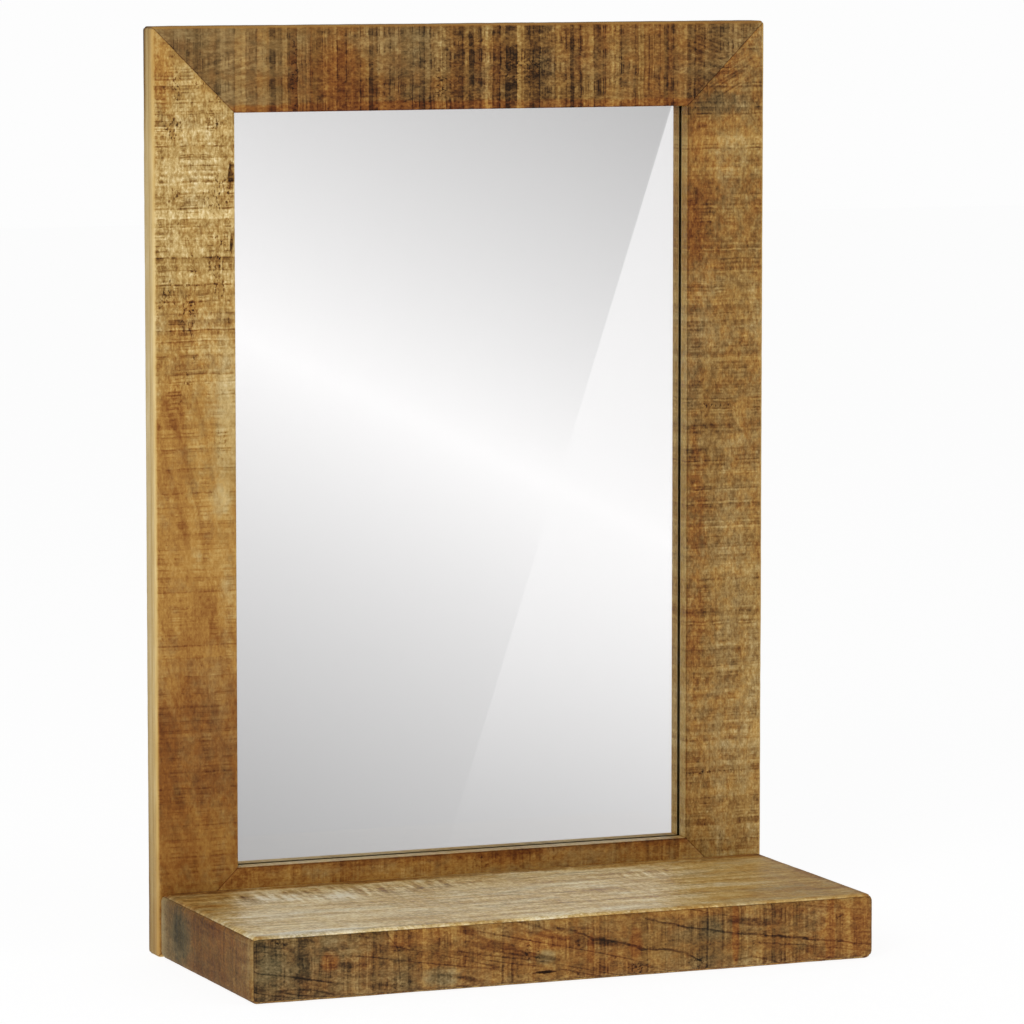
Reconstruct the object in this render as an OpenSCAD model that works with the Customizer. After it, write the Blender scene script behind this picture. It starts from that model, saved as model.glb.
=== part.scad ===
// Wall mirror with a box shelf: a mitred timber frame, a glass held in its rebate, and a hollow shelf that is
// screwed on from behind. The back of the frame lies on the wall plane y = 0, and the front faces -y.
// Each piece is drawn with its heights from the underside. Then the whole mirror hangs by its keyholes,
// whose entry holes lie at z = 0.

/* [Frame] */
// Overall width of the frame
frame_w = 500; // [420:1:800]
// Overall height of the frame
frame_h = 700; // [500:1:1000]
// Thickness of the frame timber, front to back
frame_t = 23; // [21:0.5:36]
// Width of each rail and stile, seen from the front
rail_w = 65; // [58:1:100]
// Thickness of the lip in front of the glass
lip_t = 12; // [8:0.5:13]
// Width of the rebate that the glass lies in
rebate_w = 10; // [8:0.5:14]
// Radius of the eased outer edges
edge_r = 2.5; // [1:0.25:4]
// Radius of the eased edge round the opening
arris_r = 1.2; // [0.5:0.1:2.5]

/* [Mirror] */
// Thickness of the float glass
glass_t = 4; // [3:0.5:6]
// Thickness of the silver and its backing paint
film_t = 0.2; // [0.1:0.05:0.4]
// Gap between the edge of the glass and the rebate
glass_gap = 2; // [1:0.25:4]
// Thickness of the hardboard behind the glass
backing_t = 3; // [2:0.5:5]

/* [Glazing points] */
// Length of each steel point
point_l = 16; // [12:0.5:20]
// Width of each steel point
point_w = 8; // [5:0.5:12]
// Thickness of each steel point
point_t = 0.6; // [0.4:0.1:1]
// Depth that each point is driven into the timber
point_bite = 7; // [5:0.5:9]
// Distance from the corner of the glass to the first point
point_margin = 90; // [50:1:120]
// Number of points along each stile
points_per_stile = 3; // [2:1:5]
// Number of points along each rail
points_per_rail = 2; // [1:1:4]

/* [Corner biscuits] */
// Length of a biscuit along the mitre
biscuit_l = 47; // [30:1:52]
// Width of a biscuit across the mitre
biscuit_w = 15; // [10:0.5:20]
// Thickness of a biscuit
biscuit_t = 4; // [3:0.25:5]
// Distance from the back of the frame to the middle of a biscuit
biscuit_level = 10; // [8:0.5:12]

/* [Shelf] */
// Depth of the shelf in front of the frame
shelf_d = 207; // [120:1:300]
// Height of the shelf box
shelf_t = 50; // [44:1:58]
// Distance that each end of the shelf is set in from the side of the frame
shelf_inset = 1; // [0:0.5:10]
// Thickness of the shelf boards
board_t = 15; // [12:0.5:18]
// Radius of the eased edges of the shelf
shelf_edge_r = 3; // [1:0.25:5]
// Depth of the batten that the screws hold, front to back
batten_d = 36; // [32:1:60]
// Thickness of each rib inside the shelf
rib_t = 18; // [12:1:24]

/* [Shelf fixings] */
// Number of screws that hold the shelf
shelf_screws_n = 4; // [2:2:6]
// Distance from each end of the shelf to the first screw
shelf_screw_margin = 59; // [48:1:80]
// Length of a shelf screw
shelf_screw_l = 50; // [40:1:55]
// Diameter of a shelf screw
shelf_screw_d = 4.5; // [3.5:0.1:6]
// Diameter of a dowel
dowel_d = 8; // [6:0.5:10]
// Length of a dowel
dowel_l = 36; // [24:1:40]
// Depth that a dowel goes into the frame
dowel_bite = 12; // [8:0.5:14]

/* [Wall hangers] */
// Distance from the top of the frame down to the entry holes
hanger_drop = 110; // [95:1:200]
// Height of a keyhole plate
plate_l = 50; // [46:1:60]
// Width of a keyhole plate
plate_w = 18; // [14:0.5:20]
// Thickness of a keyhole plate
plate_t = 1.5; // [1:0.1:2.5]
// Diameter of the entry hole for the head of a wall screw
entry_d = 10; // [8:0.25:11]
// Width of the slot that holds the shank of a wall screw
slot_w = 4.6; // [3.5:0.1:6]
// Distance from the entry hole up to the end of the slot
slot_rise = 9; // [7.5:0.5:11]
// Depth of the pocket for the screw head behind a plate
pocket_depth = 8; // [5:0.5:12]
// Room for the screw head round the entry hole in that pocket
pocket_room = 1.5; // [0.5:0.25:2.5]
// Distance from each end of a plate to its screw
plate_screw_margin = 6; // [5:0.25:7]
// Length of a plate screw
plate_screw_l = 12; // [8:0.5:16]
// Diameter of a plate screw
plate_screw_d = 3; // [2.5:0.1:3.5]

/* [Hidden] */
$fn = 64;

// Clearances between pieces that fit into each other
fit_gap = 0.05;      // round a screw, a dowel or a glazing point
biscuit_room = 0.5;  // round the outline of a biscuit
recess_gap = 0.25;   // round a keyhole plate
batten_gap = 0.3;    // at each end of the batten, and in front of a rib
overrun = 1;         // how far a cutter passes through a face

// Screws: each share is of the diameter of the shank
head_share = 2;        // diameter of the countersunk head
tip_share = 0.25;      // diameter of the end of the tip
cross_share = 1.1;     // span of the cross recess in the head
cross_width = 0.22;    // width of each arm of the cross
cross_depth = 0.35;    // depth of the cross

arc_steps = 4;         // straight lines in a quarter of an eased edge

// Frame and glass, with depths from the wall plane
half_w = frame_w / 2;
rebate_wall = rail_w - rebate_w;
rebate_depth = frame_t - lip_t;
glass_w = frame_w - 2 * (rebate_wall + glass_gap);
glass_h = frame_h - 2 * (rebate_wall + glass_gap);
glass_front_y = -rebate_depth;
film_front_y = glass_front_y + glass_t;
backing_front_y = film_front_y + film_t;
point_front_y = backing_front_y + backing_t;

// Shelf box
shelf_half_w = frame_w / 2 - shelf_inset;
shelf_back_y = -frame_t;
shelf_front_y = shelf_back_y - shelf_d;
shelf_mid_z = shelf_t / 2;
hollow_half_w = shelf_half_w - board_t;
rib_x = hollow_half_w / 3;  // the ribs part the hollow into three bays
screw_span = 2 * (shelf_half_w - shelf_screw_margin);
screw_pitch = screw_span / (shelf_screws_n - 1);
dowel_x = shelf_screws_n > 2 ? (screw_span - screw_pitch) / 2 : screw_span / 4;

// Keyhole plates, in the middle of the full thickness of each stile
hanger_x = half_w - rebate_wall / 2;
entry_z = frame_h - hanger_drop;
slot_end_z = slot_rise - slot_w / 2;

// Points along part of a circle, from angle a to angle b
function arc(centre, r, a, b) =
    [for (i = [0:arc_steps]) let (t = a + (b - a) * i / arc_steps) centre + r * [cos(t), sin(t)]];

// A rectangle from corner lo to corner hi with four eased corners
function eased_rectangle(lo, hi, r) = concat(
    arc([hi.x - r, hi.y - r], r, 0, 90),
    arc([lo.x + r, hi.y - r], r, 90, 180),
    arc([lo.x + r, lo.y + r], r, 180, 270),
    arc([hi.x - r, lo.y + r], r, 270, 360));

// Evenly spread places from -span / 2 to span / 2, or one in the middle
function spread(n, span) = n < 2 ? [0] : [for (i = [0:n - 1]) span * (i / (n - 1) - 0.5)];

// Section of a rail: x runs from the outer edge to the opening, y from the back to the front
function rail_section() = concat(
    arc([edge_r, edge_r], edge_r, 270, 180),
    arc([edge_r, frame_t - edge_r], edge_r, 180, 90),
    arc([rail_w - arris_r, frame_t - arris_r], arris_r, 90, 0),
    [[rail_w, rebate_depth], [rebate_wall, rebate_depth], [rebate_wall, 0]]);

// Extrusions of an outline along each axis, between two places on that axis
module along_z(from, to) translate([0, 0, from]) linear_extrude(to - from) children();
module along_y(from, to) translate([0, to, 0]) rotate([90, 0, 0]) linear_extrude(to - from) children();
module along_x(from, to) translate([from, 0, 0]) rotate([90, 0, 90]) linear_extrude(to - from) children();

module box(lo, hi) translate(lo) cube(hi - lo);

// Places a piece that is made for the left on the left, or mirrored on the right
module side(right) {
    if (right) mirror([1, 0, 0]) children();
    else children();
}

// Places a piece that is made for the bottom at the bottom, or mirrored at the top
module level(top) {
    if (top) translate([0, 0, frame_h]) mirror([0, 0, 1]) children();
    else children();
}

// Lowers a finished piece until the entry holes of the keyholes lie at z = 0
module hung() translate([0, 0, -entry_z]) children();

// ---- screws ----

// A countersunk screw that points along -y, with the top of its head at y = 0
module screw_body(d, length, gap = 0) {
    head_d = d * head_share;
    head_h = (head_d - d) / 2;
    rotate([90, 0, 0]) {
        cylinder(head_h, r1 = head_d / 2 + gap, r2 = d / 2 + gap);
        translate([0, 0, head_h - gap]) cylinder(length - head_h - d + gap, r = d / 2 + gap);
        translate([0, 0, length - d]) cylinder(d, r1 = d / 2 + gap, r2 = d * tip_share / 2 + gap);
    }
}

module screw(d, length) {
    arm = [d * cross_share, 2 * d * cross_depth, d * cross_width];
    difference() {
        screw_body(d, length);
        for (turn = [0, 90]) rotate([0, turn, 0]) cube(arm, center = true);
    }
}

// ---- frame blanks, made for the left and for the bottom ----

// A wedge that ends on the two mitres of a piece from 0 to length, and reaches past its inner edge
module mitre_wedge(length) {
    reach = rail_w + overrun;
    polygon([[0, 0], [length, 0], [length - reach, reach], [reach, reach]]);
}

module frame_outline() {
    along_y(-frame_t, 0) polygon(eased_rectangle([-half_w, 0], [half_w, frame_h], edge_r));
}

module rail_blank() {
    intersection() {
        along_x(-half_w, half_w) polygon([for (p = rail_section()) [-p.y, p.x]]);
        along_y(-frame_t, 0) translate([-half_w, 0]) mitre_wedge(frame_w);
        frame_outline();
    }
}

module stile_blank() {
    intersection() {
        along_z(0, frame_h) polygon([for (p = rail_section()) [p.x - half_w, -p.y]]);
        along_y(-frame_t, 0) translate([-half_w, frame_h]) rotate(-90) mitre_wedge(frame_h);
        frame_outline();
    }
}

// ---- corner biscuits ----

// A lens-shaped biscuit lies along the mitre of the bottom left corner, midway between edge and rebate
module biscuit(room = 0, gap = 0) {
    length = biscuit_l + 2 * room;
    width = biscuit_w + 2 * room;
    bow_r = (length * length + width * width) / (4 * width);
    translate([-half_w + rebate_wall / 2, 0, rebate_wall / 2])
        rotate([0, -45, 0])
            along_y(-biscuit_level - biscuit_t / 2 - gap, -biscuit_level + biscuit_t / 2 + gap)
                intersection() {
                    translate([0, bow_r - width / 2]) circle(bow_r);
                    translate([0, width / 2 - bow_r]) circle(bow_r);
                }
}

module biscuit_slot() biscuit(biscuit_room, fit_gap);

module corner_biscuit(right, top) color("wheat") side(right) level(top) biscuit();

// ---- glazing points ----

// A steel point lies flat on the back of the hardboard, with its narrow end in the timber at x < 0
module point_blade(gap = 0) {
    half = point_w / 2 + gap;
    tip = half / 2;
    back = -point_bite - gap;
    along_y(point_front_y - gap, point_front_y + point_t + gap)
        polygon([[back, -tip], [0, -half], [point_l - point_bite, -half],
                 [point_l - point_bite, half], [0, half], [back, tip]]);
}

module stile_points(gap = 0) {
    for (z = spread(points_per_stile, glass_h - 2 * point_margin))
        translate([-half_w + rebate_wall, 0, frame_h / 2 + z]) point_blade(gap);
}

module rail_points(gap = 0) {
    for (x = spread(points_per_rail, glass_w - 2 * point_margin))
        translate([x, 0, rebate_wall]) rotate([0, -90, 0]) point_blade(gap);
}

module glazing_points() {
    color("gray") {
        for (right = [false, true]) side(right) stile_points();
        for (top = [false, true]) level(top) rail_points();
    }
}

// ---- keyhole plates, made for the left stile ----

module at_left_entry() translate([-hanger_x, 0, entry_z]) children();

// The outline of a plate, midway about the keyhole
module plate_outline(room = 0) {
    translate([0, slot_rise / 2]) {
        square([plate_w + 2 * room, plate_l - plate_w], center = true);
        for (end = spread(2, plate_l - plate_w)) translate([0, end]) circle(plate_w / 2 + room);
    }
}

// A round entry hole with a straight slot above it
module keyhole_outline(entry_r, slot_r) {
    circle(entry_r);
    translate([0, slot_end_z]) circle(slot_r);
    translate([-slot_r, 0]) square([2 * slot_r, slot_end_z]);
}

module plate_screw_places() {
    for (end = spread(2, plate_l - 2 * plate_screw_margin))
        at_left_entry() translate([0, 0, slot_rise / 2 + end]) children();
}

module plate_screw_holes() plate_screw_places() screw_body(plate_screw_d, plate_screw_l, fit_gap);

module hanger_plate(right) {
    color("lightsteelblue")
    side(right)
    difference() {
        at_left_entry() along_y(-plate_t, 0) plate_outline();
        at_left_entry() along_y(-plate_t - overrun, overrun) keyhole_outline(entry_d / 2, slot_w / 2);
        plate_screw_holes();
    }
}

// The recess for a plate, with the pocket that the head of a wall screw slides up in
module hanger_recess() {
    head_r = entry_d / 2 + pocket_room;
    at_left_entry() {
        along_y(-plate_t, overrun) plate_outline(recess_gap);
        along_y(-plate_t - pocket_depth, overrun) keyhole_outline(head_r, head_r);
    }
}

module hanger_screws() {
    color("silver")
    for (right = [false, true]) side(right) plate_screw_places() screw(plate_screw_d, plate_screw_l);
}

// ---- shelf fixings ----

module shelf_screw_places() {
    for (x = spread(shelf_screws_n, screw_span)) translate([x, 0, shelf_mid_z]) children();
}

module shelf_screws() color("darkgray") shelf_screw_places() screw(shelf_screw_d, shelf_screw_l);

module dowels(gap = 0) {
    for (x = [-dowel_x, dowel_x])
        translate([x, shelf_back_y + dowel_bite + gap, shelf_mid_z])
            rotate([90, 0, 0]) cylinder(dowel_l + 2 * gap, r = dowel_d / 2 + gap);
}

module shelf_dowels() color("wheat") dowels();

// The holes for both, which run on from the frame into the shelf
module shelf_fixing_holes() {
    shelf_screw_places() screw_body(shelf_screw_d, shelf_screw_l, fit_gap);
    dowels(fit_gap);
}

// ---- frame ----

module stile(right) {
    color(right ? "peru" : "burlywood")
    side(right)
    difference() {
        stile_blank();
        for (top = [false, true]) level(top) biscuit_slot();
        stile_points(fit_gap);
        hanger_recess();
        plate_screw_holes();
    }
}

module fitted_rail() {
    difference() {
        rail_blank();
        for (right = [false, true]) side(right) biscuit_slot();
        rail_points(fit_gap);
    }
}

module top_rail() color("sienna") level(true) fitted_rail();

module bottom_rail() {
    color("saddlebrown")
    difference() {
        fitted_rail();
        shelf_fixing_holes();
    }
}

// ---- mirror ----

// A pane as large as the glass, between two depths
module pane(front, back) {
    box([-glass_w / 2, front, (frame_h - glass_h) / 2], [glass_w / 2, back, (frame_h + glass_h) / 2]);
}

module mirror_glass() color("azure") pane(glass_front_y, film_front_y);
module mirror_silvering() color("gainsboro") pane(film_front_y, backing_front_y);
module backing_board() color("rosybrown") pane(backing_front_y, point_front_y);

// ---- shelf box ----

// The outside of the box, with all its edges eased
module shelf_envelope() {
    intersection() {
        along_x(-shelf_half_w, shelf_half_w)
            polygon(eased_rectangle([shelf_front_y, 0], [shelf_back_y, shelf_t], shelf_edge_r));
        along_y(shelf_front_y, shelf_back_y)
            polygon(eased_rectangle([-shelf_half_w, 0], [shelf_half_w, shelf_t], shelf_edge_r));
        along_z(0, shelf_t)
            polygon(eased_rectangle([-shelf_half_w, shelf_front_y], [shelf_half_w, shelf_back_y], shelf_edge_r));
    }
}

// The bottom board is mitred at both ends and along its front
module mitred_panel() {
    intersection() {
        shelf_envelope();
        along_y(shelf_front_y, shelf_back_y)
            polygon([[-shelf_half_w, 0], [shelf_half_w, 0], [hollow_half_w, board_t], [-hollow_half_w, board_t]]);
        along_x(-shelf_half_w, shelf_half_w)
            polygon([[shelf_front_y, 0], [shelf_back_y, 0],
                     [shelf_back_y, board_t], [shelf_front_y + board_t, board_t]]);
    }
}

module shelf_bottom_board() color("peru") mitred_panel();
module shelf_top_board() color("tan") translate([0, 0, shelf_t]) mirror([0, 0, 1]) mitred_panel();

// The front board is mitred on all four sides
module shelf_front_board() {
    color("saddlebrown")
    intersection() {
        shelf_envelope();
        along_z(0, shelf_t)
            polygon([[-shelf_half_w, shelf_front_y], [shelf_half_w, shelf_front_y],
                     [hollow_half_w, shelf_front_y + board_t], [-hollow_half_w, shelf_front_y + board_t]]);
        along_x(-shelf_half_w, shelf_half_w)
            polygon([[shelf_front_y, 0], [shelf_front_y, shelf_t],
                     [shelf_front_y + board_t, shelf_t - board_t], [shelf_front_y + board_t, board_t]]);
    }
}

// An end board is mitred along its top, bottom and front
module shelf_end(right) {
    color("sienna")
    side(right)
    intersection() {
        shelf_envelope();
        along_z(0, shelf_t)
            polygon([[-shelf_half_w, shelf_front_y], [-shelf_half_w, shelf_back_y],
                     [-hollow_half_w, shelf_back_y], [-hollow_half_w, shelf_front_y + board_t]]);
        along_y(shelf_front_y, shelf_back_y)
            polygon([[-shelf_half_w, 0], [-shelf_half_w, shelf_t],
                     [-hollow_half_w, shelf_t - board_t], [-hollow_half_w, board_t]]);
    }
}

module shelf_back_batten() {
    reach = hollow_half_w - batten_gap;
    color("burlywood")
    difference() {
        box([-reach, shelf_back_y - batten_d, board_t], [reach, shelf_back_y, shelf_t - board_t]);
        shelf_fixing_holes();
    }
}

module shelf_rib(right) {
    color("burlywood")
    side(right)
    box([-rib_x - rib_t / 2, shelf_front_y + board_t + batten_gap, board_t],
        [-rib_x + rib_t / 2, shelf_back_y - batten_d, shelf_t - board_t]);
}

hung() top_rail();
hung() bottom_rail();
hung() stile(false);  // left_stile
hung() stile(true);  // right_stile
hung() corner_biscuit(false, true);  // biscuit_top_left
hung() corner_biscuit(true, true);  // biscuit_top_right
hung() corner_biscuit(false, false);  // biscuit_bottom_left
hung() corner_biscuit(true, false);  // biscuit_bottom_right
hung() mirror_glass();
hung() mirror_silvering();
hung() backing_board();
hung() glazing_points();
hung() shelf_top_board();
hung() shelf_bottom_board();
hung() shelf_front_board();
hung() shelf_end(false);  // shelf_left_end
hung() shelf_end(true);  // shelf_right_end
hung() shelf_back_batten();
hung() shelf_rib(false);  // shelf_rib_left
hung() shelf_rib(true);  // shelf_rib_right
hung() shelf_screws();
hung() shelf_dowels();
hung() hanger_plate(false);  // hanger_plate_left
hung() hanger_plate(true);  // hanger_plate_right
hung() hanger_screws();
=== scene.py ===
"""The looks of a wall mirror with a box shelf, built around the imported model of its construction.

Lengths are in metres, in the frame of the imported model: the wall is the plane y = 0, the front faces -y
and z is up. The nine boards that show are dressed copies of their solids: finer, with rounded edges, wavy
skins, open seams, cracks and knots. The pieces behind and inside them keep their own solids, with a finish.
"""

from math import cos, radians, sin

import bmesh
import bpy
from bpy.props import FloatProperty, FloatVectorProperty, PointerProperty
from bpy.types import Operator, Panel, PropertyGroup
from bpy.utils import register_class, unregister_class
from mathutils import Matrix, Vector, noise


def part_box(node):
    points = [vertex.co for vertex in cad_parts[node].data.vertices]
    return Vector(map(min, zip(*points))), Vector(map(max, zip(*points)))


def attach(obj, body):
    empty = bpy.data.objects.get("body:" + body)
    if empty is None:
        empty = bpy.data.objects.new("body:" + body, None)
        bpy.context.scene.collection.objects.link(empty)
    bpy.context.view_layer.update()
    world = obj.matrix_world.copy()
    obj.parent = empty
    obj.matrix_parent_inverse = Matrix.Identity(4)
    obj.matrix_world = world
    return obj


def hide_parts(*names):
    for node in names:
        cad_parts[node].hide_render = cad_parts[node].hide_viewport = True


bl_info = {
    "name": "Mirror with shelf",
    "version": (1, 0, 0),
    "blender": (4, 5, 0),
    "location": "View3D > Sidebar > Mirror",
    "description": "Sawn timber, glass and fittings of a wall mirror with a box shelf",
    "category": "Object",
}

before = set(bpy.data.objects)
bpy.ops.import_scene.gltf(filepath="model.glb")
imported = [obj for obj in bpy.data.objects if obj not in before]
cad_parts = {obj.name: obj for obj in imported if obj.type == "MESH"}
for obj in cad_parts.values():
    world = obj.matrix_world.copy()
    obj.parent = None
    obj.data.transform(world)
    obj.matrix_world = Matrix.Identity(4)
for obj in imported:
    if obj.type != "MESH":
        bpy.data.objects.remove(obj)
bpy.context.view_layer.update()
NODE_BOX = {name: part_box(name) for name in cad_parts}
FRAME_BOARDS = ("top_rail", "bottom_rail", "left_stile", "right_stile")
SHELF_INSIDES = ("shelf_back_batten", "shelf_rib_left", "shelf_rib_right", "shelf_screws", "shelf_dowels")
SHELF_BOARDS = ("shelf_top_board", "shelf_bottom_board", "shelf_front_board", "shelf_left_end",
                "shelf_right_end")


def paint_value(red, green, blue):
    """A colour given as on a paint chart, from 0 to 255, as the linear values that Blender works in."""
    return tuple(
        c / 255 / 12.92 if c < 10.31 else ((c / 255 + 0.055) / 1.055) ** 2.4 for c in (red, green, blue)
    )


def box_of(names):
    """The lowest and highest corner of several pieces together."""
    corners = [corner for name in names for corner in NODE_BOX[name]]
    return tuple(Vector(pick(c[axis] for c in corners) for axis in range(3)) for pick in (min, max))


FRAME_BOX = box_of(FRAME_BOARDS)
SHELF_BOX = box_of(SHELF_BOARDS)
GLASS_BOX = NODE_BOX["mirror_glass"]
OPENING_HALF_W = NODE_BOX["right_stile"][0].x
OPENING_LOW = NODE_BOX["bottom_rail"][1].z
OPENING_HIGH = NODE_BOX["top_rail"][0].z


# ---- what a user can change ----


def length(name, description, default):
    """A property that holds a length."""
    return FloatProperty(name=name, description=description, default=default, min=0, subtype="DISTANCE",
                         unit="LENGTH", precision=5)


def share(name, description, default):
    """A property that holds a share from 0 to 1."""
    return FloatProperty(name=name, description=description, default=default, min=0, max=1,
                         subtype="FACTOR")


def colour(name, description, default):
    """A property that holds a colour."""
    return FloatVectorProperty(name=name, description=description, default=paint_value(*default), min=0,
                               max=1, subtype="COLOR")


def angle(name, description, default):
    """A property that holds an angle, given in degrees."""
    return FloatProperty(name=name, description=description, default=radians(default), subtype="ANGLE")


class TimberShape(PropertyGroup):
    """Sizes of the sawn boards' skins."""

    frame_round: length("Frame rounding", "Radius of the worn outer edges of the frame", 0.0034)
    shelf_round: length("Shelf rounding", "Radius of the worn edges of the shelf", 0.0065)
    wear_reach: length("Reach of wear", "Distance from an edge at which wear has faded", 0.008)
    cell: length("Cell", "Distance between the cuts along a board", 0.0022)
    wave: length("Wave", "Depth of the slow waves in a board's skin", 0.00035)
    dent: length("Dent", "Depth of the small dents", 0.00018)
    ripple: length("Saw ripple", "Depth of the ripples left by the saw", 0.00012)
    seam_width: length("Seam width", "Width of an open mitre", 0.0008)
    seam_depth: length("Seam depth", "Depth of an open mitre", 0.0004)
    sheen: share("Sheen", "Strength of the lacquer's shine, where 0.5 is that of full gloss", 0.25)


# Tints of the lacquered hardwood from cracks to sapwood: plain, warm and weathered.
TINT_LADDERS = (
    (("ink", "Cracks, knots and pores", (32, 18, 6)), ("umber", "Dark grain", (84, 53, 19)),
     ("brown", "Plain heartwood", (130, 92, 41)), ("tan", "Plain wood", (166, 131, 70)),
     ("straw", "Sapwood", (200, 171, 111)), ("cream", "Palest sapwood", (231, 209, 158)),
     ("ivory", "Light on the palest sapwood", (250, 238, 203))),
    (("soot", "Warm cracks", (34, 16, 4)), ("rust", "Dark warm grain", (95, 46, 9)),
     ("russet", "Red-brown heartwood", (138, 85, 31)), ("amber", "Orange-brown wood", (175, 129, 60)),
     ("honey", "Golden sapwood", (205, 170, 101)), ("butter", "Palest golden sapwood", (233, 208, 150)),
     ("milk", "Light on golden sapwood", (250, 236, 198))),
    (("coal", "Weathered cracks", (24, 20, 12)), ("slate", "Green-grey stain", (68, 58, 34)),
     ("ash", "Weathered brown", (113, 95, 60)), ("stone", "Weathered wood", (152, 133, 94)),
     ("chalk", "Bleached wood", (188, 172, 134)), ("frost", "Palest bleached wood", (220, 210, 184)),
     ("snow", "Light on bleached wood", (244, 240, 226))),
)


class TimberColours(PropertyGroup):
    """Colours of the timber: the tints of the lacquered boards, and the bare wood inside."""

    bare: colour("Bare", "Planed inner timber", (196, 160, 108))
    beech: colour("Beech", "Biscuits and dowels", (206, 164, 112))
    __annotations__.update({key: colour(key.capitalize(), shows, tint)
                            for ladder in TINT_LADDERS for key, shows, tint in ladder})


class FittingColours(PropertyGroup):
    """Colours of the glass, the board behind it and the steel."""

    glass_arris: length("Glass arris", "Width of the ground edges of the glass", 0.0006)
    film_gap: length("Film gap", "Gap between glass and silver, which keeps their faces apart", 0.00004)
    glass: colour("Glass", "Tint of the float glass", (255, 255, 255))
    silver: colour("Silver", "Reflection of the silver film", (251, 250, 250))
    back_paint: colour("Back paint", "Paint behind the silver", (96, 98, 100))
    hardboard: colour("Hardboard", "Smooth pressed fibreboard", (112, 78, 50))
    zinc: colour("Zinc", "Bright zinc plate", (196, 198, 202))
    yellow_zinc: colour("Yellow zinc", "Thin places in the plate", (186, 178, 150))


class StageLooks(PropertyGroup):
    """The studio: camera, lights, floor and what the mirror sees."""

    lens: FloatProperty(name="Lens", description="Focal length in millimetres", default=207.5, min=20)
    yaw: angle("Yaw", "Turn of the camera to the right of straight ahead", 22.286)
    pitch: angle("Pitch", "Tilt of the camera below the horizon", 6.11)
    distance: length("Distance", "Distance of the camera from the place it aims at", 4.437)
    aim_x: FloatProperty(name="Aim x", description="Place that the camera aims at", default=0.007)
    aim_y: FloatProperty(name="Aim y", description="Place that the camera aims at", default=-0.1)
    aim_z: FloatProperty(name="Aim z", description="Place that the camera aims at", default=-0.2546)
    backdrop: colour("Backdrop", "White of the room behind the mirror", (253, 253, 253))
    room_light: share("Room light", "Strength of the light from all round", 0.58)
    room_sheen: share("Room sheen", "Strength of the room in glossy reflections", 0.25)
    key_power: FloatProperty(name="Key light", description="Watts of the light at the left", default=53)
    fill_power: FloatProperty(name="Fill light", description="Watts of the light at the right", default=18)


# ---- shader maths ----


def math_node(operation, turned=False):
    """An operator that adds a Math node. A turned one has its value as the second input."""
    def operator(value, *others):
        values = (*others, value) if turned else (value, *others)
        return value.mixer.node("Math", {"operation": operation}, *values)
    return operator


class Value:
    """A socket that can stand in an expression: each operator adds its Math node."""

    def __init__(self, mixer, socket):
        self.mixer = mixer
        self.socket = socket

    __add__, __radd__ = math_node("ADD"), math_node("ADD", turned=True)
    __sub__, __rsub__ = math_node("SUBTRACT"), math_node("SUBTRACT", turned=True)
    __mul__, __rmul__ = math_node("MULTIPLY"), math_node("MULTIPLY", turned=True)
    __truediv__, __pow__, __abs__ = map(math_node, ("DIVIDE", "POWER", "ABSOLUTE"))
    least, most, part = map(math_node, ("MINIMUM", "MAXIMUM", "FRACT"))

    def __neg__(self):
        return self * -1

    def rise(self, low, high):
        """0 up to low, 1 from high on, and a smooth rise between them."""
        ease = {"interpolation_type": "SMOOTHSTEP", "clamp": True}
        return self.mixer.node("MapRange", ease, Value=self, From_Min=low, From_Max=high)


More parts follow.
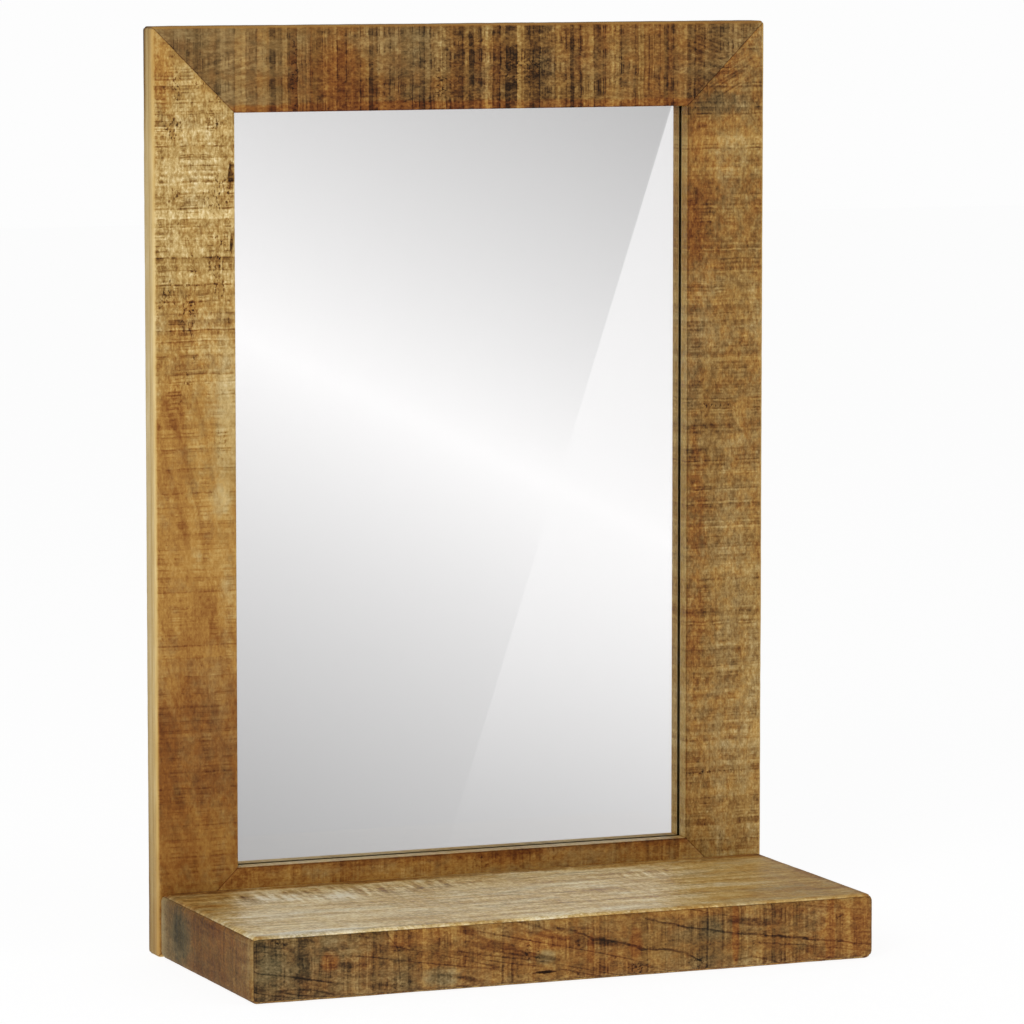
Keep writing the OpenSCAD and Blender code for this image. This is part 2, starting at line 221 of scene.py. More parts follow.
class Mixer:
    """Mixes one material: it holds the node tree and adds nodes to it."""

    def __init__(self, name):
        self.material = bpy.data.materials.new(name)
        self.material.use_nodes = True
        self.tree = self.material.node_tree
        self.tree.nodes.clear()

    def node(self, kind, settings=None, *values, output=0, **named):
        """Adds a node: first its settings, then its sockets, by place or by name. Gives one output."""
        made = self.tree.nodes.new("ShaderNode" + kind)
        for key, setting in (settings or {}).items():
            if key == "stops":
                self._set_stops(made.color_ramp, setting)
            else:
                setattr(made, key, setting)
        for place, value in enumerate(values):
            self._feed(made.inputs[place], value)
        for name, value in named.items():
            self._feed(self._socket(made.inputs, name), value)
        return Value(self, self._socket(made.outputs, output))

    def _socket(self, sockets, name):
        if isinstance(name, int):
            return sockets[name]
        for socket in sockets:
            if name in (socket.identifier, socket.name.replace(" ", "_")):
                return socket
        raise KeyError(f"no socket is named {name}")

    def _feed(self, socket, value):
        if isinstance(value, Value):
            self.tree.links.new(value.socket, socket)
        elif socket.type == "RGBA" and len(value) == 3:
            socket.default_value = (*value, 1)
        else:
            socket.default_value = value

    def _set_stops(self, ramp, stops):
        while len(ramp.elements) < len(stops):
            ramp.elements.new(1)
        for element, (position, numbers) in zip(ramp.elements, stops):
            element.position = position
            element.color = (*numbers, 1)[:4]

    def place(self):
        """The x, y and z of a point on the piece."""
        point = self.node("TexCoord", output="Object")
        return [self.node("SeparateXYZ", {}, point, output=axis) for axis in "XYZ"]

    def join(self, x, y, z):
        return self.node("CombineXYZ", {}, x, y, z)

    def noise(self, point, detail=3, roughness=0.5, distortion=0):
        """Smooth noise from 0 to 1 about 0.5, with features one unit of the point across."""
        return self.node("TexNoise", {}, Vector=point, Scale=1, Detail=detail, Roughness=roughness,
                         Distortion=distortion)

    def blend(self, factor, first, second, kind="MIX"):
        settings = {"data_type": "RGBA", "blend_type": kind}
        return self.node("Mix", settings, output="Result_Color", Factor_Float=factor, A_Color=first,
                         B_Color=second)

    def shade(self, tint, strength):
        """A colour made lighter or darker."""
        return self.node("VectorMath", {"operation": "SCALE"}, Vector=tint, Scale=strength)

    def along_stops(self, value, stops, output="Color"):
        """What a row of stops holds at a value: three numbers or a colour, and a fourth number as Alpha."""
        return self.node("ValToRGB", {"stops": stops}, value, output=output)

    def channels(self, tint, *names):
        """The numbers that a colour holds as its red, green or blue."""
        return [self.node("SeparateColor", {}, tint, output=name) for name in names]

    def layer(self, name):
        """A number that the mesh holds for each of its points."""
        return self.node("Attribute", {"attribute_name": name}, output="Fac")

    def finish(self, kind="BsdfPrincipled", **sockets):
        """Gives the material its surface, a shader with these sockets."""
        surface = self.node(kind, {}, **sockets)
        self._feed(self.tree.nodes.new("ShaderNodeOutputMaterial").inputs["Surface"], surface)
        return self.material


# ---- how each board was cut ----
# Places are in millimetres from the lower, left or front end of the board, as it hangs: along its grain and
# across it. Tones run from 0, a crack, to 1, the palest sapwood.
# grain, width: the axes along and across the grain. seed: sets one board's noise apart from another's.
# fibres: their number in a metre, along and across. fibre, mottle: strength of fibres and of fine clouds.
# hatch, slabs, bars: strength of the fine, the broad and the dark marks of the saw.
# lines: strength of the growth rings' lines. specks: how much of the board has dark pits.
# tilt: how much paler the board gets across its width. lean: climb of the figure along the board.
# skew: climb of the course's fields across the board. polish: 0 is sawn, 1 is sanded smooth.
# worn: how much paler the edges are, partly from wear and partly a painted highlight on the rounded edges;
# below 0 they are darker.
# lip: how much paler, warmer and greyer the faces round the opening are: painted light on the reveal and
# the ledge.
# figure, hue: strength of slow changes in tone and in tint, and their number in a metre, along and across.
# course: (share of the length, tone, warmth, greyness, roughness of the sawing) along the board.
# planed: (share of the length, tone, darkness of the rear edge) of the frame's planed outer sides.
# stains: (along, across, half length, half width, paler, warmer, greyer).
# specks_at: (along, across, half length, half width) of clusters of dark pits.
# rakes: (along, across, half length, half width, degrees from the grain, strength, scratches in a metre).
# splits: (along, across, half length, half width, depth) of knots and cracks, which are cut into the wood.
# grain_lines: (half width, strength, places on the way) of dark lines that follow the grain.

# Tones of the planed outer sides of the frame from its front, 0, to the wall, 1.
SIDE_BANDS = [(at, (level, level, level)) for at, level in
              ((0.0, 0.55), (0.3, 0.5), (0.38, 0.4), (0.46, 0.5), (0.85, 0.5), (1.0, 0.4))]

# What many boards have, and what each has of its own.

PLAIN_BOARD = {
    "grain": "X", "width": "Z", "fibres": (48, 560), "slabs": 0.4, "specks": 0.4, "tilt": 0, "lean": 0,
    "skew": 0, "polish": 0, "figure": (0.6, 9, 72), "hue": (1, 80, 95), "rakes": [], "splits": [],
    "grain_lines": [],
}

BOARDS = {
    "left_stile": {
        "grain": "Z", "width": "X", "seed": 3.1, "fibres": (48, 620), "fibre": 0.6, "mottle": 1.05,
        "hatch": 0.75, "slabs": 0.45, "bars": 0.8, "lines": 0.25, "specks": 0.7, "tilt": 0.02,
        "lean": 0.27, "worn": 0.1, "lip": (0.12, 0.6, -0.1), "figure": (0.9, 9, 72),
        # The course is paler at its lower end, near the shelf: painted light that offsets the shade there.
        "course": [
            (0, 0.52, 1, 0, 0.26), (0.11, 0.5, 1, 0, 0.26), (0.19, 0.375, 1, 0, 0.26),
            (0.27, 0.4, 1, 0, 0.26), (0.31, 0.48, 1, 0, 0.28), (0.37, 0.59, 1, 0, 0.28),
            (0.43, 0.63, 0.9, 0, 0.28), (0.57, 0.63, 0.7, 0, 0.3), (0.66, 0.64, 0.4, 0, 0.52),
            (0.77, 0.71, -0.1, 0, 0.75), (0.9, 0.71, -0.1, 0, 0.75), (0.96, 0.66, 0.2, 0, 0.5),
            (1, 0.66, 0.3, 0, 0.4),
        ],
        "planed": [
            (0, 0.68, 0.2), (0.06, 0.7, 0.3), (0.2, 0.76, 0.1), (0.45, 0.86, 0.04), (0.75, 0.88, 0.04),
            (0.88, 0.82, 0.1), (0.93, 0.72, 0.5), (1, 0.66, 0.7),
        ],
        "stains": [
            (662, 9, 26, 9, -0.06, 0.6, 0), (352, 12, 80, 14, -0.05, 0.5, 0),
            (400, 58, 60, 10, 0.1, -0.6, 0), (343, 52, 13, 7, 0.1, -0.3, 0.2),
            (302, 32, 15, 6, 0.07, 0, 0), (322, 44, 16, 5, -0.06, 0.3, 0),
            (240, 44, 40, 18, -0.05, 0.2, 0), (480, 30, 22, 9, -0.07, 0.2, 0),
            (132, 40, 16, 14, -0.06, 0.2, 0),
        ],
        "specks_at": [
            (655, 19, 14, 4), (657, 37, 5, 6), (623, 16, 9, 8), (628, 50, 5, 8), (540, 55, 6, 8),
            (521, 50, 10, 7), (503, 12, 12, 5), (484, 28, 16, 7), (503, 52, 7, 6), (433, 26, 2, 6),
            (387, 53, 12, 6), (575, 50, 16, 12),
        ],
        "rakes": [(510, 54, 42, 10, 3, 0.8, 420)],
        "splits": [(587, 62, 11, 2.6, 0.9), (537, 62, 7, 1.2, 0.5)],
        "grain_lines": [
            (3.5, 0.08, [(425, 8), (391, 20), (366, 28), (351, 32), (325, 38), (300, 40)]),
            (3, 0.06, [(410, 2), (368, 10), (351, 17), (325, 23), (290, 30)]),
            (2.5, 0.05, [(480, 12), (440, 26), (400, 38), (360, 46)]),
            (2, 0.06, [(290, 52), (250, 44), (215, 42)]),
        ],
    },
    "right_stile": {
        "grain": "Z", "width": "X", "seed": 8.7, "fibres": (48, 620), "fibre": 0.6, "mottle": 1.2,
        "hatch": 0.8, "bars": 0.45, "lines": 0.1, "specks": 0.3, "tilt": 0.1, "worn": -0.12,
        "lip": (0.22, 0.1, -0.2), "figure": (0.5, 9, 72), "hue": (1.5, 80, 95),
        "course": [
            (0, 0.56, 0.2, 0.1, 0.5), (0.12, 0.58, 0.2, 0.1, 0.5), (0.3, 0.52, 0.2, 0.1, 0.5),
            (0.5, 0.485, 0.1, 0.1, 0.5), (0.7, 0.51, 0.2, 0.1, 0.5), (0.77, 0.43, 0.3, 0, 0.5),
            (0.81, 0.42, 0.4, 0, 0.5), (0.86, 0.56, 0.5, 0, 0.45), (0.91, 0.41, 0.1, 0.1, 0.5),
            (1, 0.44, 0.5, 0, 0.45),
        ],
        "planed": [(0, 0.74, 0.2), (1, 0.78, 0.2)],
        "stains": [
            (636, 30, 9, 26, -0.05, -0.3, 0.4), (612, 14, 12, 9, 0.04, 0.4, -0.3),
            (441, 6, 45, 9, -0.06, 0.2, 0), (300, 8, 90, 9, -0.03, 0.4, 0), (540, 8, 30, 8, -0.03, 0.4, 0),
        ],
        "specks_at": [(402, 20, 2, 22), (115, 30, 1.5, 30)],
        "rakes": [(664, 34, 26, 26, 62, 0.8, 420)],
    },
    "top_rail": {
        "seed": 5.3, "fibre": 0.5, "mottle": 1, "hatch": 0.7, "slabs": 1, "bars": 1, "lines": 0.3,
        "tilt": 0.04, "worn": -0.1, "lip": (0.1, 0, -0.14), "figure": (0.3, 9, 72), "hue": (0.7, 80, 95),
        "course": [
            (0, 0.46, 0, 0.45, 0.34), (0.18, 0.47, 0.1, 0.4, 0.34), (0.24, 0.42, 0.3, 0.15, 0.4),
            (0.3, 0.355, 0.35, 0, 0.5), (0.35, 0.38, 0.3, 0.1, 0.5), (0.42, 0.38, 0.1, 0.25, 0.5),
            (0.5, 0.4, 0, 0.1, 0.58), (0.6, 0.43, 0, 0.08, 0.62), (0.72, 0.45, 0.2, 0.05, 0.55),
            (0.82, 0.33, 0.3, 0, 0.5), (0.9, 0.41, 0.1, 0.3, 0.5), (1, 0.45, 0, 0.45, 0.5),
        ],
        "planed": [(0, 0.5, 0.2), (1, 0.5, 0.2)],
        "stains": [
            (250, 2, 250, 5, -0.02, 0.9, -0.5), (112, 30, 8, 30, -0.05, 0.2, 0),
            (150, 28, 18, 28, -0.02, 0.5, -0.4), (262, 30, 10, 20, -0.05, 0, 0.2),
            (312, 32, 12, 14, -0.05, 0, 0.2), (22, 50, 14, 6, -0.06, 0.3, 0),
            (345, 34, 8, 12, -0.06, 0, 0),
        ],
        "specks_at": [(112, 28, 3, 30), (288, 30, 8, 18), (306, 30, 10, 12), (230, 20, 5, 20)],
        "rakes": [(452, 40, 24, 20, -20, 0.5, 420), (60, 28, 34, 24, 14, 0.5, 420)],
    },
    "bottom_rail": {
        "seed": 11.9, "fibres": (48, 620), "fibre": 0.6, "mottle": 0.9, "hatch": 0.6, "bars": 0.5,
        "lines": 0.2, "worn": -0.2, "lip": (0.4, 0, 0.34),
        "course": [
            (0, 0.56, 1, 0, 0.4), (0.4, 0.54, 0.9, 0, 0.4), (0.7, 0.48, 0.7, 0, 0.4),
            (1, 0.54, 0.4, 0.1, 0.4),
        ],
        "planed": [(0, 0.74, 0.2), (1, 0.78, 0.2)],
        # The second stain, a dark strip along the upper edge below the glass, is painted shade.
        "stains": [(300, 58, 30, 8, -0.06, 0.2, 0), (250, 66, 420, 6, -0.12, 0.2, 0)],
        "specks_at": [(262, 57, 8, 5)],
    },
    "shelf_front_board": {
        "seed": 17.2, "fibre": 0.5, "mottle": 1.25, "hatch": 0.75, "slabs": 0.7, "bars": 0.55,
        "lines": 1.2, "specks": 0.5, "lean": 0.16, "worn": -0.05, "figure": (0.9, 9, 72),
        "course": [
            (0, 0.43, 0, 0.6, 0.5), (0.07, 0.39, 0, 0.5, 0.5), (0.12, 0.38, 0.1, 0.4, 0.5),
            (0.18, 0.445, 0.2, 0.3, 0.5), (0.3, 0.4, 0.35, 0, 0.5), (0.5, 0.46, 0.4, 0, 0.46),
            (0.66, 0.38, 0.25, 0.1, 0.42), (0.8, 0.42, 0.3, 0.1, 0.45), (1, 0.44, 0.6, 0, 0.5),
        ],
        "stains": [
            (37, 26, 9, 20, -0.11, 0, 0.1), (14, 30, 12, 14, 0.02, -0.2, 0.3),
            (59, 28, 8, 8, 0.02, 0.9, -0.4), (62, 44, 10, 6, 0.1, 0, 0.2), (50, 42, 3, 12, 0.08, 0.4, 0),
            (362, 30, 9, 7, -0.02, -0.6, 0.35), (146, 10, 16, 8, 0.04, -0.5, 0.6),
            (229, 20, 8, 6, 0.01, -0.6, 0.4), (232, 31, 16, 8, 0.02, 0.8, -0.4),
            (265, 23, 3, 10, -0.05, 1, -0.3), (301, 24, 6, 12, -0.03, 0.9, -0.3),
            (382, 26, 3, 30, -0.06, 1, -0.3), (460, 24, 4, 30, -0.05, 1, -0.3),
            (345, 46, 30, 5, 0.08, 0.3, -0.3), (370, 30, 40, 10, -0.03, -0.2, 0.2),
            (360, 7, 26, 5, -0.07, 0, 0.2), (130, 42, 30, 7, 0.08, 0.5, -0.2),
            (480, 30, 20, 30, 0.03, 0.3, -0.2),
        ],
        "specks_at": [(215, 26, 3, 8), (222, 24, 2, 7), (300, 6, 14, 4), (352, 8, 8, 6), (20, 44, 8, 5)],
        "rakes": [(60, 14, 26, 12, 168, 0.6, 420)],
        "splits": [(228, 8, 8, 1.1, 0.8)],
        "grain_lines": [
            (1.3, 0.2, [
                (238, 40), (257, 35), (266, 30), (289, 26), (305, 20), (329, 18), (346, 13), (354, 8),
            ]),
            (1.1, 0.19, [(309, 42), (325, 38), (354, 32), (382, 27), (403, 24), (436, 19), (494, 11)]),
            (0.9, 0.14, [(400, 18), (436, 14), (498, 5)]),
            (1.1, 0.16, [(382, 6), (396, 8), (411, 5), (423, 0)]),
            (1.4, 0.16, [(170, 50), (205, 48), (222, 43), (232, 38)]),
            (0.9, 0.12, [(104, 45), (112, 34), (114, 10)]),
        ],
    },
    "shelf_left_end": {
        "grain": "Y", "seed": 23.8, "fibre": 0.5, "mottle": 0.8, "hatch": 0.6, "bars": 0.5, "lines": 0.5,
        "specks": 0.3, "worn": 0.12, "hue": (0.6, 80, 95),
        # The pale band at the rear end of the course is a painted highlight on the rounded rear edge.
        "course": [
            (0, 0.5, 0.3, 0.3, 0.3), (0.035, 0.48, 0.3, 0.3, 0.35), (0.06, 0.41, 0.3, 0.2, 0.36),
            (0.4, 0.37, 0.3, 0.1, 0.34), (0.7, 0.36, 0.3, 0.2, 0.34), (0.88, 0.37, 0, 0.5, 0.34),
            (0.93, 0.44, 0, 0.6, 0.33), (0.96, 0.58, -0.2, 0.6, 0.3), (1, 0.55, 0, 0.4, 0.3),
        ],
        "stains": [
            (157, 23, 24, 21, -0.06, -0.3, 0.7), (160, 20, 12, 18, -0.06, -0.2, 0.4),
            (100, 10, 60, 9, -0.04, 0.2, 0),
        ],
        "specks_at": [],
    },
    "shelf_right_end": {
        "grain": "Y", "seed": 29.4, "fibre": 0.8, "mottle": 1, "hatch": 0.8, "slabs": 0.5, "bars": 0.6,
        "lines": 0.6, "lean": 0.05, "worn": 0.14, "hue": (0.8, 80, 95),
        "course": [(0, 0.46, 0.5, 0, 0.5), (0.5, 0.4, 0.6, 0, 0.5), (1, 0.4, 0.2, 0.2, 0.5)],
        "stains": [(60, 26, 18, 10, -0.1, 0.1, 0)],
        "specks_at": [(60, 26, 12, 8)],
        "splits": [(60, 26, 8, 1.4, 0.8)],
    },
    "shelf_top_board": {
        "width": "Y", "seed": 37.5, "fibres": (9, 100), "fibre": 1.7, "mottle": 1.2, "hatch": 0.3,
        "slabs": 0.1, "bars": 0.15, "lines": 0.6, "specks": 0.1, "lean": 0.03, "skew": 0.41,
        "polish": 0.35, "worn": 0.1, "figure": (1.7, 15, 40), "hue": (2.3, 20, 50),
        # The pale field across the middle of the course is partly a painted reflection of the mirror, over
        # the lacquer's own sheen; the skew slants it.
        "course": [
            (0, 0.57, 0.5, 0, 0.45), (0.08, 0.61, 0.4, 0.05, 0.5), (0.14, 0.92, 0.1, 0.14, 0.7),
            (0.3, 0.91, 0.5, 0, 0.75), (0.5, 0.87, 0.8, 0, 0.8), (0.6, 0.87, 0.9, 0, 0.8),
            (0.71, 0.86, 0.9, 0, 0.7), (0.79, 0.74, 0.9, 0, 0.45), (1, 0.72, 0.9, 0, 0.4),
        ],
        "stains": [
            # The first stain, a dark strip along the back edge, is painted shade where the top meets the
            # frame.
            (249, 202, 480, 15, -0.3, 0.5, 0.1), (50, 8, 44, 8, 0.1, -0.8, 1),
            (495, 100, 9, 150, -0.16, 0.4, 0.1), (300, 50, 60, 6, -0.04, 0.3, 0),
        ],
        "specks_at": [],
        "rakes": [
            (110, 155, 90, 28, 86, 2.3, 150), (200, 162, 50, 20, 86, 1.9, 170),
            (372, 150, 30, 22, 84, 1.4, 220), (300, 90, 90, 30, 80, 0.5, 150),
        ],
        "grain_lines": [
            (1.8, 0.12, [(262, 51), (320, 54), (377, 50)]), (1.5, 0.1, [(395, 80), (420, 72), (445, 70)]),
            (1.4, 0.09, [(90, 60), (180, 74), (260, 70)]), (1.2, 0.1, [(230, 30), (300, 38), (360, 34)]),
            (1.5, 0.08, [(120, 110), (220, 104), (330, 112)]),
        ],
    },
    "shelf_bottom_board": {
        "width": "Y", "seed": 41.3, "fibre": 0.8, "mottle": 1, "hatch": 0.8, "bars": 0.5, "lines": 0.6,
        "lean": 0.04, "worn": 0.14,
        "course": [
            (0, 0.46, 0.4, 0.1, 0.5), (0.4, 0.48, 0.1, 0.2, 0.5), (0.7, 0.42, 0.6, 0, 0.5),
            (1, 0.46, 0.4, 0.1, 0.5),
        ],
        "stains": [(330, 120, 24, 12, -0.1, 0.1, 0.1)],
        "specks_at": [(330, 120, 16, 8)],
        "splits": [(330, 120, 9, 1.6, 0.8)],
    },
}
BOARDS = {name: {**PLAIN_BOARD, **board} for name, board in BOARDS.items()}


# ---- timber finishes ----


class Plank:
    """A board in its own directions, in metres: u along its grain, v across its face and w through it."""

    def __init__(self, mix, name):
        self.mix = mix
        self.board = BOARDS[name]
        self.low, high = NODE_BOX[name]
        axes = dict(zip("XYZ", mix.place()))
        grain, width = self.board["grain"], self.board["width"]
        self.u = axes.pop(grain) - self.low["XYZ".index(grain)]
        self.v = axes.pop(width) - self.low["XYZ".index(width)]
        self.w = axes.popitem()[1]
        self.length, self.width = ((high - self.low)["XYZ".index(axis)] for axis in (grain, width))

    def noise(self, along, across, salt, detail=3, roughness=0.55):
        """Noise about 0, with so many features in a metre along and across the grain."""
        spot = self.mix.join(self.u * along + (self.board["seed"] + salt), self.v * across, self.w * across)
        return self.mix.noise(spot, detail, roughness) - 0.5

    def spot(self, along, across, half_l, half_w, ragged):
        """1 inside an oval spot given in millimetres, and 0 outside its ragged rim."""
        du = (self.u - along / 1000) / (half_l / 1000)
        dv = (self.v - across / 1000) / (half_w / 1000)
        return 1 - (du * du + dv * dv + ragged).rise(0.15, 1.5)

    def saw_cells(self, pitch, wander):
        """Bands of one saw stroke each: two random numbers per band, and the distance to its edge."""
        place = (self.u + wander) / pitch + self.board["seed"] * 7
        settings = {"voronoi_dimensions": "1D"}
        band = self.mix.node("TexVoronoi", settings, output="Color", W=place, Scale=1)
        to_edge = {**settings, "feature": "DISTANCE_TO_EDGE"}
        edge = self.mix.node("TexVoronoi", to_edge, output="Distance", W=place, Scale=1)
        shade, hue = self.mix.channels(band, "Red", "Green")
        return shade - 0.5, hue, edge * pitch

    def raked(self, degrees, pitch):
        """Fine scratches that run askew to the grain, so many in a metre."""
        slope = radians(degrees)
        run = self.u * cos(slope) + self.v * sin(slope)
        side = self.v * cos(slope) - self.u * sin(slope)
        return self.mix.noise(self.mix.join(run * 22, side * pitch, self.w * 400), 3, 0.6) - 0.5

    def line(self, half_width, places, waver):
        """1 on a wavering grain line through places given in millimetres, and 0 beside it."""
        near = 1
        for (along, across), (next_along, next_across) in zip(places, places[1:]):
            run, climb = (next_along - along) / 1000, (next_across - across) / 1000
            du, dv = self.u - along / 1000, self.v + waver - across / 1000
            gone = ((du * run + dv * climb) / (run * run + climb * climb)).most(0).least(1)
            off = self.mix.join(du - gone * run, dv - gone * climb, 0)
            near = self.mix.node("VectorMath", {"operation": "LENGTH"}, off, output="Value").least(near)
        return 1 - near.rise(half_width / 4000, half_width / 1000)


def wood_colour(mix, tone, warmth, greyness, looks):
    """The colour of wood from its tone, 0 for a crack and 1 for the palest sapwood, warmed or weathered."""
    rungs = ([(step / 6, looks[key]) for step, (key, *_rest) in enumerate(ladder)]
             for ladder in TINT_LADDERS)
    plain, warm, grey = (mix.along_stops(tone / 1.2, stops) for stops in rungs)
    return mix.blend(greyness, mix.blend(warmth, plain, warm), grey)


def shifted(look, where, changes):
    """Tone, warmth and greyness, each changed by its own amount where a mask is 1."""
    return [part + where * change for part, change in zip(look, changes)]


def frame_sides(mix, plank, place, tone, warmth, greyness):
    """The planed outer sides of the frame, the faces round the opening made paler with painted light, and
    the bare rebate.
    """
    x, y, z = mix.place()
    low, high = FRAME_BOX
    beyond_frame = (abs(x) - high.x).most(z - high.z).most(low.z - z)
    outer = beyond_frame.rise(-0.003, -0.0008)
    sides = plank.board["planed"]
    planed = mix.along_stops(place, [(at, (level, edge, 0)) for at, level, edge in sides])
    level, edge = mix.channels(planed, "Red", "Green")
    depth = (y - low.y) / (high.y - low.y)
    bands = mix.along_stops(depth, SIDE_BANDS)
    streaks = plank.noise(9, 40, 55.1) * 0.3 + plank.noise(40, 420, 57.3) * 0.25
    side_tone = level + bands - 0.5 - depth.rise(0.55, 0.95) * edge + streaks
    tone = tone + (side_tone - tone) * outer
    warmth = warmth + (1 - depth * 1.8 - warmth) * outer
    greyness = greyness + (depth * 0.35 - greyness) * outer

    beyond = (abs(x) - OPENING_HALF_W).most(z - OPENING_HIGH).most(OPENING_LOW - z)
    # The faces round the opening, behind the front face: painted light, paler, warmer and greyer by the
    # board's share.
    lip = (1 - beyond.rise(0.0005, 0.0009)) * (y - low.y).rise(0.0006, 0.001)
    tone, warmth, greyness = shifted((tone, warmth, greyness), lip, plank.board["lip"])
    glass_front = GLASS_BOX[0].y
    rebate = y.rise(glass_front - 0.0006, glass_front - 0.0001) * (1 - beyond.rise(0.0085, 0.0095))
    tone = tone + (0.95 - tone) * rebate
    return tone, warmth, greyness


def sawn_timber(name, looks, sheen):
    """Rough-sawn hardwood under satin lacquer, as one board shows it."""
    mix = Mixer("sawn_" + name)
    plank = Plank(mix, name)
    board = plank.board

    patch = plank.noise(11, 26, 0.0)
    drift = plank.noise(9, 30, 31.0)
    mottle = plank.noise(150, 210, 2.3, 6, 0.74)
    fibre = plank.noise(*board["fibres"], 4.1, 3, 0.6)
    hue, hue_along, hue_across = board["hue"]
    blotch = plank.noise(hue_along, hue_across, 41.9, 5, 0.7) * hue
    leaning = plank.v + plank.u * board["lean"]
    strong, along, across = board["figure"]
    spot = mix.join(plank.u * along + board["seed"], leaning * across, plank.w * across)
    figure = (mix.noise(spot, 3, 0.55, 0.3) - 0.5) * strong
    broken = plank.noise(34, 90, 20.3, 4, 0.7)
    wander = plank.noise(12, 38, 13.7) * 0.0022 + plank.noise(70, 150, 17.7) * 0.0009
    wide, wide_hue, wide_edge = plank.saw_cells(0.0105, wander)
    mid, mid_hue, mid_edge = plank.saw_cells(0.0041, wander)
    fine, _hue, _edge = plank.saw_cells(0.0015, wander * 1.5)

    skew = board["skew"]
    place = (plank.u + (plank.width - plank.v) * skew) / (plank.length + plank.width * skew) + patch * 0.08
    stops = [(at, tuple(numbers)) for at, *numbers in board["course"]]
    course = mix.along_stops(place, stops)
    tone, warmth, greyness = mix.channels(course, "Red", "Green", "Blue")
    rough = mix.along_stops(place, stops, "Alpha") * 2
    tone = tone + (plank.v / plank.width - 0.5) * board["tilt"]
    for stain in board["stains"]:
        spot = plank.spot(*stain[:4], mottle * 1.5 + drift * 1.5)
        tone, warmth, greyness = shifted((tone, warmth, greyness), spot, stain[4:])
    for half_width, strength, places in board["grain_lines"]:
        line = plank.line(half_width, places, broken * 0.006 + mottle * 0.003)
        tone = tone - line * (1 + fibre * 3 + mottle * 3) * strength

    warmth = warmth + blotch * 1.8 + (mid_hue - 0.5) * (0.4 * board["slabs"]) + patch * 1.4 + mottle * 0.7
    greyness = greyness - blotch * 0.9 + (wide_hue - 0.5) * (0.3 * board["slabs"]) + drift * 1.2
    slabs = wide * 0.16 + mid * 0.13 - (1 - mid_hue.rise(0.08, 0.2)) * broken.rise(-0.15, 0.05) * 0.16
    saw = slabs * board["slabs"] + fine * (broken.rise(-0.12, 0.1) * (0.24 * board["hatch"]))
    crisp = plank.noise(420, 640, 61.3, 2, 0.5)
    grain = fibre * (0.36 * board["fibre"]) + mottle * (0.62 * board["mottle"]) + crisp * 0.45
    tone = tone + figure * 0.3

    rings = mix.noise(mix.join(plank.u * 4 + board["seed"], leaning * 34, plank.w * 34), 2, 0.5, 0.4)
    ring_line = (1 - abs((rings * 9).part() * 2 - 1)).rise(0.62, 0.98) * patch.rise(-0.08, 0.1)

    bars = (1 - wide_edge.rise(0.0, 0.0009)) * broken.rise(-0.1, 0.08)
    bars = bars.most((1 - mid_edge.rise(0.0, 0.0006)) * broken.rise(0.0, 0.12))
    grit = plank.noise(330, 560, 25.6, 3, 0.6).rise(0.05, 0.13)
    near_bar = 1 - wide_edge.rise(0.0003, 0.0022)
    where = (plank.noise(45, 80, 27.7) + near_bar * 0.05).rise(0.07, 0.16)
    where = where * board["specks"] * rough.least(1)
    for oval in board["specks_at"]:
        where = where.most(plank.spot(*oval, mottle * 2))
    pits = grit * where.least(1)
    saw = saw - bars * (0.22 * board["bars"]) - pits * 0.34

    tone = tone + (saw + grain) * rough + drift * 0.25
    tone = tone - ring_line * (0.16 * board["lines"])
    for *oval, degrees, strength, pitch in board["rakes"]:
        spot = plank.spot(*oval, mottle + drift)
        tone = tone + spot * plank.raked(degrees, pitch) * (0.9 * strength)

    hole = pits * 0
    for *oval, _depth in board["splits"]:
        hole = hole.most(plank.spot(*oval, mottle * 2 + fibre * 1.5))
    tone = tone - hole * 0.5

    # Edges made paler or darker by the board's share: partly wear, partly a painted highlight on the
    # rounded edges.
    worn = (mix.layer("arris") + mottle * 0.5 + broken * 0.4).rise(0.8, 1.1)
    tone = tone + worn * board["worn"]
    greyness = greyness + worn * 0.1
    if name in FRAME_BOARDS:
        tone, warmth, greyness = frame_sides(mix, plank, place, tone, warmth, greyness)
    tone = tone - mix.layer("seam").rise(0.2, 0.9) * 0.16

    wood = wood_colour(mix, tone.most(0.02), warmth.most(0).least(1), greyness.most(0).least(1), looks)
    gloss = 0.46 - 0.16 * board["polish"] + fine * 0.12 + pits * 0.2 + hole * 0.3 + fibre * 0.1
    height = fine * (0.5 * board["hatch"]) + fibre * 0.6 + mottle * 0.8
    height = height - bars * board["bars"] - pits - hole * 2
    bump = mix.node("Bump", {}, Strength=0.6, Distance=0.00025, Height=height)
    return mix.finish(Base_Color=wood, Roughness=gloss.most(0.2), Normal=bump, IOR=1.5,
                      Specular_IOR_Level=sheen * (1 + board["polish"] * 0.7))


def planed_timber(name, tint, dark, grain):
    """Bare planed or turned timber, with its grain along one axis."""
    mix = Mixer(name)
    place = dict(zip("XYZ", mix.place()))
    u = place.pop(grain)
    v, w = place.values()
    fibre = mix.noise(mix.join(u * 30, v * 700, w * 700), 3, 0.6)
    rings = (mix.noise(mix.join(u * 4, v * 40, w * 40), 2, 0.5, 0.3) * 9).part()
    flecks = mix.noise(mix.join(u * 260, v * 1500, w * 1500), 2, 0.5).rise(0.62, 0.72)
    wood = mix.shade(tint, 1 + (fibre - 0.5) * 0.5)
    wood = mix.blend(rings.rise(0.6, 1.0) * 0.35 + flecks * 0.3, wood, dark)
    bump = mix.node("Bump", {}, Strength=0.4, Distance=0.0001, Height=fibre)
    return mix.finish(Base_Color=wood, Roughness=0.52 + fibre * 0.2, Normal=bump)


# ---- other finishes ----


